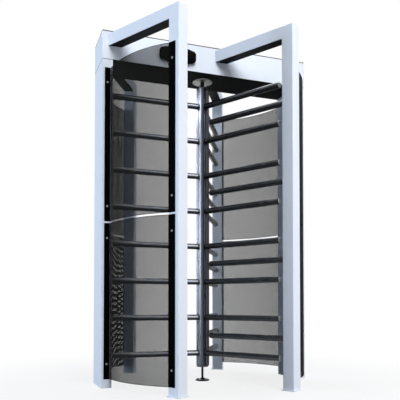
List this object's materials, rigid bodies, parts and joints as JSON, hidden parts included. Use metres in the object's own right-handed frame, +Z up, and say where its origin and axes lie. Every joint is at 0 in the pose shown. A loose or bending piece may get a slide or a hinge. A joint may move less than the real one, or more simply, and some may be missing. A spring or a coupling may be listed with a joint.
{
  "type": "full-height turnstile",
  "caption": "Full-height turnstile: a rotor with three wings of level bars turns in a frame of posts, curved perforated guards and a box header.",
  "frame": {"origin": "on the floor, on the rotor's axis, which is the centre of the base", "axes": "+X along the header to the right seen from the front, +Y from the front to the rear, +Z up along the rotor's axis"},
  "size_m": [1.486, 1.3754, 2.32],
  "materials": {
    "pale_enamel": "satin powder coat, very pale grey",
    "dark_underside": "matt dark grey paint",
    "dark_lid": "matt dark grey edge of the lid",
    "guard_sheet": "satin black powder coat on perforated sheet",
    "black_strip": "satin black powder coat",
    "rotor_column": "polished steel tube",
    "rotor_bar": "dark polished steel tube",
    "bearing_steel": "machined steel",
    "indicator_plastic": "glossy black plastic"
  },
  "bodies": {
    "frame": {"header_underside": "dark_underside", "header_front_panel": "pale_enamel", "header_rear_panel": "pale_enamel", "header_left_end": "pale_enamel", "header_right_end": "pale_enamel", "header_lid": "dark_lid", "left_pillar": "pale_enamel", "right_pillar": "pale_enamel", "front_left_post": "pale_enamel", "front_right_post": "pale_enamel", "rear_left_post": "pale_enamel", "rear_right_post": "pale_enamel", "front_left_beam": "pale_enamel", "front_right_beam": "pale_enamel", "rear_left_beam": "pale_enamel", "rear_right_beam": "pale_enamel", "front_left_guard_lower": "guard_sheet", "front_left_guard_upper": "guard_sheet", "front_left_strips": "black_strip", "front_right_guard_lower": "guard_sheet", "front_right_guard_upper": "guard_sheet", "front_right_strips": "black_strip", "rear_left_guard_lower": "guard_sheet", "rear_left_guard_upper": "guard_sheet", "rear_left_strips": "black_strip", "rear_right_guard_lower": "guard_sheet", "rear_right_guard_upper": "guard_sheet", "rear_right_strips": "black_strip", "comb_front": "rotor_bar", "comb_rear": "rotor_bar", "top_bearing": "bearing_steel", "floor_pivot": "bearing_steel", "front_indicator": "indicator_plastic", "rear_indicator": "indicator_plastic"},
    "rotor": {"column_tube_front": "rotor_column", "column_tube_right": "rotor_column", "column_tube_rear": "rotor_column", "column_top_plate": "rotor_column", "column_bottom_plate": "rotor_column", "wing_left": "rotor_bar", "wing_front": "rotor_bar", "wing_rear": "rotor_bar", "rotor_shaft": "bearing_steel", "rotor_pin": "bearing_steel"}
  },
  "joints": [
    {"name": "rotor_turn", "type": "hinge", "parent": "frame", "child": "rotor", "pos_m": [0, 0, 0], "axis": [0, 0, 1], "continuous": true}
  ]
}
